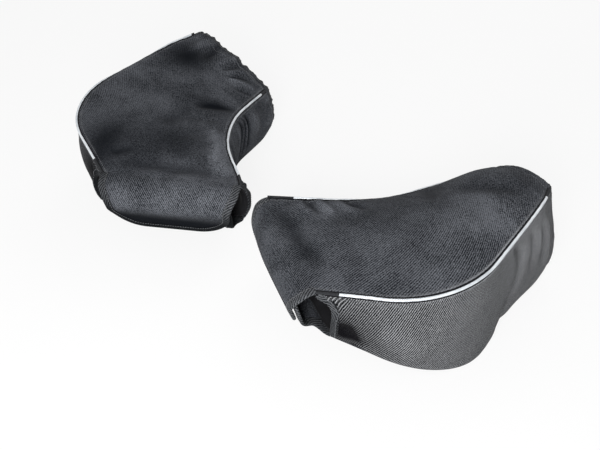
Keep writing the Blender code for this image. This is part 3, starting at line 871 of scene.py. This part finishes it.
# (from, to, width, height) of each fold, in the mitt's plan or along a wall and up it
folds = {
    "right_top": [
        ((0.022, 0.024), (0.16, 0.024), 0.011, -0.0042),     # behind the roll
        ((0.062, 0.14), (0.028, 0.02), 0.01, 0.0051),     # beside the inner seam
        ((0.042, 0.206), (0.098, 0.172), 0.008, -0.0048),     # across from the piping's end
        ((0.098, 0.172), (0.128, 0.112), 0.013, -0.0035),
        ((0.024, 0.262), (0.058, 0.252), 0.0036, -0.0036),     # short folds by the cuff
        ((0.03, 0.276), (0.07, 0.262), 0.004, 0.0048),
        ((0.04, 0.292), (0.074, 0.268), 0.0036, -0.0046),
        ((0.05, 0.3), (0.078, 0.274), 0.0034, 0.0038),
        ((0.058, 0.312), (0.082, 0.276), 0.0038, -0.0044),
        ((0.07, 0.318), (0.09, 0.284), 0.004, 0.0044),
        ((0.102, 0.322), (0.108, 0.282), 0.006, -0.0045),
        ((0.122, 0.326), (0.136, 0.29), 0.006, 0.0042),
        ((0.176, 0.036), (0.15, 0.052), 0.007, -0.0029),
    ],
    "left_top": [
        ((0.03, 0.015), (0.15, 0.021), 0.011, -0.003),     # behind the roll
        ((0.016, 0.04), (0.056, 0.044), 0.006, 0.0042),     # across the inner seam
        ((0.02, 0.051), (0.06, 0.058), 0.005, -0.0032),
        ((0.026, 0.063), (0.066, 0.071), 0.006, 0.0045),
        ((0.034, 0.084), (0.08, 0.096), 0.007, 0.0038),
        ((0.036, 0.098), (0.072, 0.112), 0.006, -0.0035),
        ((0.036, 0.222), (0.094, 0.207), 0.0032, -0.0022),     # a crease by the far seam
        ((0.044, 0.208), (0.1, 0.186), 0.012, -0.0048),
        ((0.098, 0.222), (0.142, 0.284), 0.014, -0.0045),
    ],
    "right_inner": [
        ((0.162, 0.09), (0.16, 0.016), 0.005, 0.0026),
        ((0.181, 0.09), (0.181, 0.012), 0.0032, -0.0034),
        ((0.187, 0.088), (0.186, 0.012), 0.003, 0.0026),
        ((0.192, 0.088), (0.191, 0.012), 0.003, -0.0034),
        ((0.197, 0.086), (0.196, 0.016), 0.003, 0.0028),
        ((0.2025, 0.084), (0.2025, 0.014), 0.0032, -0.0048),
        ((0.222, 0.08), (0.224, 0.03), 0.011, 0.0038),
        ((0.11, 0.1), (0.12, 0.03), 0.006, -0.0026),
    ],
    "left_inner": [
        ((0.15, 0.088), (0.146, 0.014), 0.0045, -0.0032),
        ((0.172, 0.084), (0.176, 0.022), 0.004, -0.0035),
    ],
    "right_outer": [
        ((0.1, 0.11), (0.06, 0.02), 0.01, -0.0038),
        ((0.29, 0.118), (0.275, 0.04), 0.006, -0.0035),
    ],
    "left_outer": [
        ((0.263, 0.126), (0.262, 0.079), 0.006, -0.005),     # a crease down the rear half
        ((0.262, 0.079), (0.253, 0.055), 0.0062, -0.005),
        ((0.253, 0.055), (0.242, 0.012), 0.0066, -0.005),
        ((0.282, 0.12), (0.273, 0.04), 0.008, 0.0022),
        ((0.297, 0.124), (0.3, 0.062), 0.0048, -0.0046),
        ((0.312, 0.118), (0.316, 0.07), 0.0044, 0.003),
        ((0.332, 0.124), (0.34, 0.04), 0.007, 0.0048),
        ((0.322, 0.11), (0.326, 0.06), 0.0036, -0.003),
        ((0.012, 0.07), (0.036, 0.03), 0.011, -0.0054),     # a dent by the bar opening
        ((0.06, 0.085), (0.11, 0.03), 0.018, 0.0029),
    ],
}
flapCrease = {"height": 0.073, "width": 0.013, "out": {"right": 0.0046, "left": 0.0018}}

# Painted light and shade: lighter and darker areas, each with its middle, reach and share in the mitt's own frame
paintedLightPatches = {
    "right": [
        ((0.09, -0.015, 0.052), (0.3, 0.032, 0.029), -0.98),
        ((0.09, -0.012, 0.033), (0.3, 0.03, 0.012), -0.6),
        ((0.09, -0.018, 0.094), (0.11, 0.03, 0.014), 0.45),
        ((0.134, 0.278, 0.13), (0.036, 0.034, 0.05), -1.00),
        ((0.079, 0.278, 0.11), (0.022, 0.026, 0.05), 0.35),
        ((0.16, 0.18, 0.125), (0.034, 0.04, 0.05), -0.1),
        ((0.105, 0.08, 0.112), (0.06, 0.045, 0.04), -0.6),
        ((0.08, 0.192, 0.108), (0.045, 0.018, 0.04), -0.55),
        ((0.19, 0.07, 0.115), (0.022, 0.04, 0.04), -0.3),
        ((0.034, 0.08, 0.104), (0.013, 0.055, 0.04), 1.35),
        ((0.205, 0.03, 0.06), (0.05, 0.08, 0.08), -1.1),
        ((0.025, 0.21, 0.05), (0.04, 0.08, 0.05), -0.2),
        ((0.006, 0.02, 0.075), (0.02, 0.03, 0.03), -0.45),
    ],
    "left": [
        ((0.09, 0.012, 0.105), (0.08, 0.013, 0.03), -0.32),
        ((0.09, -0.012, 0.036), (0.3, 0.03, 0.014), -0.8),
        ((0.108, 0.186, 0.13), (0.022, 0.02, 0.04), -0.3),
        ((0.146, 0.3, 0.145), (0.026, 0.024, 0.05), -0.5),
        ((0.175, 0.23, 0.142), (0.06, 0.065, 0.05), 0.55),
        ((0.202, 0.026, 0.058), (0.014, 0.016, 0.024), -0.6),
        ((0.215, 0.05, 0.06), (0.04, 0.06, 0.05), -0.36),
        ((0.19, 0.275, 0.08), (0.06, 0.06, 0.08), 0.55),
        ((0.208, 0.233, 0.1), (0.008, 0.008, 0.032), -0.7),
        ((0.2155, 0.2205, 0.035), (0.009, 0.009, 0.035), -0.7),
        ((0.06, 0.062, 0.106), (0.016, 0.012, 0.04), 0.45),
        ((0.04, 0.03, 0.106), (0.014, 0.01, 0.04), 0.45),
    ],
}
plains = {                           # where the rib hardly shows
    "right": [((0.11, 0.21, 0.12), (0.12, 0.13, 0.06), 0.75),
              ((0.1, 0.06, 0.112), (0.12, 0.045, 0.04), 0.45)],
    "left": [((0.11, 0.27, 0.14), (0.08, 0.08, 0.06), 0.6)],
}
weltHighlights = {                            # where a painted highlight of the cloth's turned edge lies as a light line beside the seam
    "right": [((0.05, 0.275, 0.1), (0.03, 0.04, 0.04), 0.45)],
    "left": [((0.215, 0.195, 0.135), (0.06, 0.09, 0.05), 0.75)],
}


def patched(patches, grid):
    return sum(dent(grid, middle, reach, share) for middle, reach, share in patches)


cuffEnds = seamEnds(1.0)
cuffMiddle = sum(cuffEnds) / 2
cuffMiddle[2] = sum(topHeight(seam, 1.0) + seam["lift"] for seam in (innerSeam, outerSeam)) / 4
cuffLine = cuffEnds[1] - cuffEnds[0]
rearwards = np.array([-cuffLine[1], cuffLine[0], 0.0])


def drawnOut(side, grid):            # the mitt's cloth with its pulls, and drawn in by the cuff's elastic
    moved = np.zeros_like(grid)
    for middle, reach, move in pulls[side]:
        moved += dent(grid, middle, reach, 1.0)[..., None] * np.array(move)
    way = unit(rearwards)
    depth = (cuffMiddle - grid) @ way
    inwards = cuffMiddle - grid - depth[..., None] * way
    held = (1 - smooth(depth / cuff["reach"])) * cuff["drawn"][side]
    return grid + moved + inwards * held[..., None]


outerCloth, litWallCloth = weaveMaterial("topCloth"), weaveMaterial("litWallCloth")
selfTape = weaveMaterial("tapeCloth")
silver = pipingMaterial()
bindingCloth = ribbedMaterial("bindingTape", (0.006, 0.006, 0.007, 1), (0.040, 0.042, 0.046, 1), 0.0011)
# a real piping flange, coloured near black as painted shade in the seam's groove
flangeShadowCloth = plainMaterial("flangeShadowCloth", (0.003, 0.003, 0.004, 1), (0.014, 0.014, 0.016, 1), 200.0, 0.85,
                            0.0002)
hemCloth = ribbedMaterial("hemCloth", (0.006, 0.006, 0.007, 1), (0.050, 0.052, 0.056, 1), 0.0016)
threadCloth = plainMaterial("thread", (0.07, 0.072, 0.078, 1), (0.18, 0.185, 0.195, 1), 300.0, 0.6, 0.0001)
liningCloth = plainMaterial("liningCloth", (0.005, 0.005, 0.006, 1), (0.016, 0.016, 0.018, 1), 40.0, 0.75, 0.0004)
foamCloth = plainMaterial("foam", (0.50, 0.50, 0.47, 1), (0.66, 0.66, 0.63, 1), 90.0, 0.85, 0.0006)
elasticCloth = ribbedMaterial("elasticBand", (0.008, 0.008, 0.009, 1), (0.035, 0.036, 0.039, 1), 0.0009)
hookCloth = plainMaterial("hookTape", (0.01, 0.01, 0.011, 1), (0.05, 0.05, 0.052, 1), 160.0, 0.8, 0.0008)
print("materials mixed")

trim = {
    "tapeWidth": 0.0090, "tapeThickness": 0.0007, "tapeRound": 0.0009, "tapeGap": 0.0001,
    "tapeStitchIn": 0.0014, "topStitchIn": 0.0062, "spacing": 0.004,
    "tapeFrom": 3, "stitchStop": -6, "cuffStitchRow": -4,          # in rows or columns of the cloth
    "pipingRadius": 0.0017, "pipingSides": 10, "pipingSpacing": 0.003, "pipingStop": 3, "pipingProud": 0.0008,
    "turnWidth": 0.004, "flangeThickness": 0.0006, "flangeStop": -2,
    "flange": ((-0.0034, 0.0002), (-0.0018, 0.0007), (0.0, 0.0010), (0.0018, 0.0007), (0.0034, 0.0002)),
    # where a seam has rolled over onto the wall: middle and reach along it, and how far
    "rolled": {"right_outer": ((0.71, 0.12, 0.0042), (0.30, 0.24, 0.0010)),
               "left_inner": ((0.50, 0.12, 0.0042),)},
    # from where to where the piping is silver, as shares of its seam
    "silver": {"right_inner": (0.083, 0.91), "right_outer": (0.07, 0.97),
               "left_inner": (0.11, 0.90), "left_outer": (0.07, 0.91)},
}
seamColumns = {"inner": (0, -1), "outer": (-1, 0)}   # of the top cloth and of the wall that meets it there
joints = {                           # two places on each flap's cloth; bend() turns them into the pair's frame but does not use them to bend the cloth
    "front_flap": ((0.0, -0.008, 0.1035), (0.0, -0.022, 0.093)),
    "under_flap": ((0.0, 0.022, 0.036), (0.0, 0.008, 0.0385)),
}


def tapeSection(half):
    wide, turn = trim["tapeWidth"], trim["tapeRound"]
    upper = [(wide, half), (wide * 0.55, half), (turn, half), (-turn * 0.6, half * 0.75)]
    return upper + [(-turn, 0.0)] + [(x, -z) for x, z in reversed(upper)]


def edgeTape(name, path, inwards, ups, thickness, shades):
    shades = np.repeat(shades[:, None], 3, axis=1)
    path, inwards, ups, shades = evenly(path, trim["spacing"], inwards, ups, shades)
    ways = ahead(path)
    ups = squared(ups, ways)
    sides = squared(squared(inwards, ways), ups)
    middle = path - ups * thickness / 2
    half = thickness / 2 + trim["tapeThickness"] / 2 + trim["tapeGap"]
    section = tapeSection(half)
    piece = addGrid(name, sweep(middle, sides, ups, section))
    # painted light and shade, taken from the cloth under the tape
    paint(piece, "paintedLightShade", np.repeat(shades[:, 0], len(section)))
    thicken(piece, trim["tapeThickness"], offset=0.0)
    edit(piece, faceOut)
    threads = (middle + sides * (trim["tapeWidth"] - trim["tapeStitchIn"])
               + ups * (half + trim["tapeThickness"] / 2))
    return piece, (threads, ups)


def beside(points, values, column, reach):   # values along a line in the cloth, reach in from one edge
    flat = measured(points)[..., 0]
    places = flat[:, column] + (reach if column == 0 else -reach)
    return np.array([valuesAt(*item) for item in zip(places, flat, values)])


def aroundFlap(values, stop):        # from the hinge down one edge of a flap, along it and up again
    return np.concatenate([values[stop:0:-1, 0], values[0], values[1:stop + 1, -1]])


def aroundCuff(values, row):
    return np.concatenate([values["top"][row]] + [values[name][row, 1:] for name in ("outer", "bottom", "inner")])


# Foam under each cloth and the lining inside it. Shares are of the cloth's width or length
stuffing = {
    "across": (0.1, 0.9), "along": (0.09, 0.93), "columns": {"top": 25, "outer": 9, "bottom": 17, "inner": 9},
    # the lining starts at the bar opening, sinks behind the foam and rises to the cuff's edge
    "openingGap": 0.0003, "sinks": 0.08, "rises": 0.965, "rimReach": 0.035, "rimDepth": 0.0036,
}
strip = {"rows": 13, "columns": 23, "ease": 0.004, "squareness": 8, "thickness": 0.9 * tape["thickness"]}


class Mitt:                          # grids are in the mitt's own frame, and world and ups in the pair's
    def __init__(self, side, seed):
        self.side, self.flipped, self.body = side, flips[side] < 0, side + "_mitt"
        self.chance = random.Random(seed)
        self.threads = []
        top, self.crest = topGrid(side)
        bottom, self.hinge = bottomGrid()
        self.grids = {"top": top, "outer": wallGrid(outerSeam, 1), "bottom": bottom,
                      "inner": wallGrid(innerSeam, -1)}
        self.world = {name: placed(side, drawnOut(side, grid)) for name, grid in self.grids.items()}
        self.pieces = {}
        for name, grid in self.world.items():
            label = name + "_wall" if name in ("outer", "inner") else name
            self.pieces[name] = addGrid(f"{side}_{label}_cloth", grid, self.flipped)
        puffOut(self.pieces, self.world, self.crest)
        print(side, "mitt puffed")


def bend(mitt, piece, kind):
    places = [tuple(placed(mitt.side, np.array(place))) for place in joints[kind]]
    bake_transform(piece)


def foldCloth(mitt, name):           # gathers by the cuff, folds, and what the materials read
    side, grid, values = mitt.side, mitt.grids[name], cuff["gathers"]
    fromRim = np.linalg.norm(grid - grid[-1:], axis=2)
    flat = measured(grid)[..., 0]
    across = np.repeat(flat[-1:], len(grid), axis=0)
    span = (across.min(), across.max())
    lifted = gathers(across, fromRim, mitt.chance, span, values)
    edge = np.minimum(across - span[0], span[1] - across)
    lifted *= (smooth(edge / values["margin"]) * cuff["strength"][side]
               * mixed(values["atRim"], 1.0, smooth(fromRim / values["margin"])))
    if name == "bottom":
        lifted = np.maximum(lifted, 0.0) * -1.0
    behind = mitt.crest if name == "top" else 0      # the front flap has no folds but its crease
    low = grid[:behind, :, 2] - flapCrease["height"]
    lifted[:behind] += flapCrease["out"][side] * np.exp(-(low / flapCrease["width"]) ** 2)
    for fold in folds.get(f"{side}_{name}", ()):
        lifted[behind:] += ridge(foldPlane(name, grid), *fold)[behind:]
    points = mitt.world[name] + facings(mitt.world[name], mitt.flipped) * lifted[..., None]
    if name == "bottom":
        points[..., 2] = np.maximum(points[..., 2], body["floorGap"])
    mitt.world[name] = points
    piece = mitt.pieces[name]
    movePoints(piece, points)
    edge = np.minimum(flat - flat[:, :1], flat[:, -1:] - flat)
    paint(piece, "seam", np.minimum(edge, fromRim) * 1000 - seamless)
    paint(piece, "plain", patched(plains[side], grid))
    # where the painted highlight beside the seam shows
    paint(piece, "weltHighlight", patched(weltHighlights[side], grid))
    # painted light and shade: the patches, the folds lighter where raised and darker where sunken, and the darker
    # hem band
    paint(piece, "paintedLightShade", patched(paintedLightPatches[side], grid) + lifted * cuff["relief"][name]
          - cuff["shade"] * (1 - smooth(fromRim / cuff["hem"]["width"])))


def sewCloths(mitt):
    side, pieces = mitt.side, mitt.pieces
    for name in pieces:
        foldCloth(mitt, name)
    for name, line in (("top", mitt.crest - cloth["rollRows"] + 1), ("bottom", mitt.hinge)):
        group = pieces[name].vertex_groups.new(name="flap")
        group.add(list(range(line * mitt.grids[name].shape[1])), 1.0, "REPLACE")
        thicken(pieces[name], flap["thickness"], group="flap")
    for name in ("outer", "inner"):
        thicken(pieces[name], body["fabric"])
    finished(pieces["top"], outerCloth, "outer_fabric", [side + "_top_panel", side + "_front_flap"])
    finished(pieces["bottom"], outerCloth, "outer_fabric", [side + "_bottom_panel", side + "_under_flap"])
    # the outer walls take the copy of the outer fabric painted lighter where the light falls
    finished(pieces["outer"], litWallCloth, "outer_fabric", [side + "_outer_side_wall"], mitt.body)
    finished(pieces["inner"], outerCloth, "outer_fabric", [side + "_inner_side_wall"], mitt.body)
    bend(mitt, pieces["top"], "front_flap")
    bend(mitt, pieces["bottom"], "under_flap")
    mitt.ups = {name: facings(points, mitt.flipped) for name, points in mitt.world.items()}
    print(side, "mitt's cloths sewn")


def overSeam(mitt, name, shift, proud):      # beside a seam: on the top cloth below 0, on the wall above 0
    column, wallColumn = seamColumns[name]
    topPoints, topOut = mitt.world["top"][mitt.crest:], mitt.ups["top"][mitt.crest:]
    wallPoints, wallOut = mitt.world[name], mitt.ups[name]
    rolled = np.zeros(len(alongStops))
    for middle, reach, far in trim["rolled"].get(f"{mitt.side}_{name}", ()):
        rolled += dent(alongStops[:, None], (middle,), (reach,), far)
    shift = rolled + shift
    share = smooth(shift / trim["turnWidth"] + 0.5)
    out = unit(mixed(topOut[:, column], wallOut[:, wallColumn], share[:, None]))
    return (beside(topPoints, topPoints, column, np.maximum(-shift, 0))
            + beside(wallPoints, wallPoints, wallColumn, np.maximum(shift, 0))
            - topPoints[:, column] + out * proud), out


def addPiping(mitt):                 # in the two top seams, silver with black ends
    side = mitt.side
    for name in seamColumns:
        line, lift = overSeam(mitt, name, 0.0, trim["pipingProud"])
        path, lift = evenly(line, trim["pipingSpacing"], lift)
        sides = unit(np.cross(ahead(path), lift))
        points = sweep(path, sides, lift, ringSection(trim["pipingRadius"], trim["pipingSides"]))
        first, last = (int(len(path) * share) for share in trim["silver"][f"{side}_{name}"])
        for kind, low, high, material, nodes in (
                ("silver", first, last, silver, [f"{side}_piping_{name}"]),
                ("start", 0, first, bindingCloth, []),
                ("end", last, len(path) - trim["pipingStop"], bindingCloth, [])):
            piece = addGrid(f"{side}_piping_{name}_{kind}", points[low:high + 1])
            closeUp(piece)
            finished(piece, material, "reflective_piping", nodes, mitt.body)
        # the flange beside the piping, near black as painted shade in the seam's groove
        lines = [overSeam(mitt, name, shift, proud)[0] for shift, proud in trim["flange"]]
        piece = addGrid(f"{side}_piping_{name}_flange", np.stack(lines, axis=1)[:trim["flangeStop"]])
        thicken(piece, trim["flangeThickness"], offset=0.0)
        edit(piece, faceOut)
        finished(piece, flangeShadowCloth, "binding", [], mitt.body)
    print(side, "mitt piped")


def addTapes(mitt):                  # over the edges of the flaps and of the bar opening
    side, sources = mitt.side, (mitt.world, mitt.ups, mitt.grids)
    for kind, name, stop in (("front_flap", "top", mitt.crest), ("under_flap", "bottom", mitt.hinge)):
        path, lift, plan = (aroundFlap(values[name], stop) for values in sources)
        points = mitt.world[name]
        inwards = np.concatenate([points[stop:0:-1, 1] - points[stop:0:-1, 0], points[1] - points[0],
                                  points[1:stop + 1, -2] - points[1:stop + 1, -1]])
        # the flap tapes take the cloth's painted light and shade
        piece, threads = edgeTape(f"{side}_{kind}_tape", path, unit(inwards), lift, flap["thickness"],
                                  patched(paintedLightPatches[side], plan))
        finished(piece, selfTape, "binding", [f"{side}_{kind}_binding"])
        bend(mitt, piece, kind)
        stitches = addStitches(f"{side}_{kind}_stitches", [threads])
        finished(stitches, threadCloth, "binding", [])
        bend(mitt, stitches, kind)
    for kind in ("outer", "inner"):
        points, out, plan = (values[kind][:, trim["tapeFrom"]:-trim["tapeFrom"]] for values in sources)
        # the opening tapes take the cloth's painted light and shade too
        piece, threads = edgeTape(f"{side}_{kind}_opening_tape", points[0], unit(points[1] - points[0]),
                                  out[0], body["fabric"], patched(paintedLightPatches[side], plan[0]))
        finished(piece, selfTape, "binding", [f"{side}_{kind}_bar_binding"], mitt.body)
        mitt.threads.append(threads)


def markSeams(mitt):                 # stitched lines on both sides of each top seam, and one round the cuff
    both = (mitt.world, mitt.ups)
    for name, (column, wallColumn) in seamColumns.items():
        for clothName, start, edgeColumn in (("top", mitt.crest, column), (name, 0, wallColumn)):
            points, out = (values[clothName][start:trim["stitchStop"]] for values in both)
            mitt.threads.append([beside(points, values, edgeColumn, trim["topStitchIn"])
                                 for values in (points, out)])
    mitt.threads.append([aroundCuff(values, trim["cuffStitchRow"]) for values in both])


def addStuffing(mitt):
    side, loops = mitt.side, []
    depth = body["fabric"] + 2 * body["gap"] + body["foam"]
    shares = alongStops[:, None, None]
    depths = mixed(body["fabric"] + stuffing["openingGap"], depth, smooth(shares / stuffing["sinks"]))
    rising = smooth((shares - stuffing["rises"]) / stuffing["rimReach"])
    depths = np.where(shares > stuffing["rises"], mixed(depth, stuffing["rimDepth"], rising), depths)
    for name, nodeName, start in (("top", "top_padding", mitt.crest), ("outer", "outer_wall_padding", 0),
                                  ("bottom", "bottom_padding", mitt.hinge), ("inner", "inner_wall_padding", 0)):
        points, out = mitt.world[name][start:], mitt.ups[name][start:]
        stops = crowded(points.shape[1])
        wanted = np.linspace(*stuffing["across"], stuffing["columns"][name])
        low, high = (int(share * (len(points) - 1)) for share in stuffing["along"])
        foam, loop = (np.stack([valuesAt(wanted, stops, row) for row in points - out * under])
                      for under in (body["fabric"] + body["gap"], depths))
        piece = addGrid(f"{side}_{nodeName}_foam", foam[low:high + 1], mitt.flipped)
        thicken(piece, body["foam"])
        finished(piece, foamCloth, "foam", [f"{side}_{nodeName}"], mitt.body)
        loops.append(loop)
    sleeve = np.concatenate(loops + [loops[0][:, :1]], axis=1)
    piece = addGrid(f"{side}_lining_sleeve", sleeve, mitt.flipped)
    edit(piece, weld)
    thicken(piece, body["lining"])
    finished(piece, liningCloth, "lining", [side + "_lining"], mitt.body)


def addCuff(mitt):                   # the gathered hem and the elastic in it, and the mitt's stitches
    side, hem = mitt.side, cuff["hem"]
    rim, = evenly(aroundCuff(mitt.world, -1)[:-1], hem["spacing"], closed=True)
    back = np.tile(unit(placed(side, rearwards, moved=False)), (len(rim), 1))
    lift = unit(np.cross(ahead(rim, closed=True), back)) * (-1 if mitt.flipped else 1)
    if np.dot(rim.mean(axis=0) - rim[0], lift[0]) > 0:
        lift = -lift
    turn = math.radians(hem["turn"][side])           # the elastic turns the hem in
    back, lift = back * math.cos(turn) - lift * math.sin(turn), lift * math.cos(turn) + back * math.sin(turn)
    wide, half = hem["width"], hem["depth"] / 2
    middle = rim - lift * half
    runs = np.arange(len(rim)) * hem["spacing"]
    waves = []
    for pitch, strays in (hem["pleats"], hem["scallops"]):
        phase = 2 * math.pi * runs / pitch
        for size, rate, start in strays:
            phase = phase + size * np.sin(runs * rate + start)
        waves.append(np.sin(phase))
    fine, broad = waves
    wave = fine * hem["crimp"] + broad * hem["scallop"]
    near, far, thin = hem["elastic"]
    for name, corners, cloths in (
            ("hem_fold", roundedSection(wide, half, hem["corner"], hem["behind"]),
             (hemCloth, "binding", [side + "_cuff_hem"])),
            ("elastic_band", [(near, -thin), (far, -thin), (far, thin), (near, thin), (near, -thin)],
             (elasticCloth, "elastic", [side + "_cuff_elastic"]))):
        across, through = np.array(corners).T
        ring = sweep(middle, back, lift, corners)
        ring += lift[:, None] * (np.outer(fine, through / half) * hem["crimp"]
                                 + broad[:, None] * hem["scallop"])[..., None]
        ring += back[:, None] * np.outer(wave, across / wide)[..., None]
        piece = addGrid(f"{side}_cuff_{name}", np.concatenate([ring, ring[:1]], axis=0))
        closeUp(piece)
        finished(piece, *cloths, mitt.body)
    path = middle + back * hem["stitchIn"] + lift * (half + hem["stitchProud"])
    mitt.threads.append([np.concatenate([values, values[:1]]) for values in (path, lift)])
    stitches = addStitches(side + "_seam_stitches", mitt.threads)
    finished(stitches, threadCloth, "binding", [], mitt.body)


def addStrips(mitt):                 # hook and loop between the two flaps
    side, step = mitt.side, tape["thickness"] + tape["gap"]
    middleRun = underLength - underFlap["rise"] / 2
    start = (body["openingWidth"] - tape["length"]) / 2
    for kind, depth, rider in (("hook_tape", step, "_under_flap"), ("loop_tape", 2 * step, "_front_flap")):
        rows = []
        for share in np.arange(strip["rows"]) / (strip["rows"] - 1):
            run = middleRun + mixed(-tape["width"], tape["width"], share) / 2
            into = abs(2 * share - 1)
            ease = strip["ease"] * (1 - math.sqrt(max(1 - into ** strip["squareness"], 0.0)))
            across = np.linspace(start + ease, start + tape["length"] - ease, strip["columns"])
            row = np.tile(underProfile(run) + riseFacing * depth, (strip["columns"], 1))
            row[:, 0] = across
            rows.append(row)
        piece = addGrid(f"{side}_{kind}_strip", placed(side, np.array(rows)), not mitt.flipped)
        thicken(piece, strip["thickness"])
        finished(piece, hookCloth, "hook_and_loop", [f"{side}_{kind}"], side + rider)
    print(side, "mitt finished")


for side, seed in (("right", 11), ("left", 23)):
    mitt = Mitt(side, seed)
    sewCloths(mitt)
    addPiping(mitt)
    addTapes(mitt)
    markSeams(mitt)
    addStuffing(mitt)
    addCuff(mitt)
    addStrips(mitt)
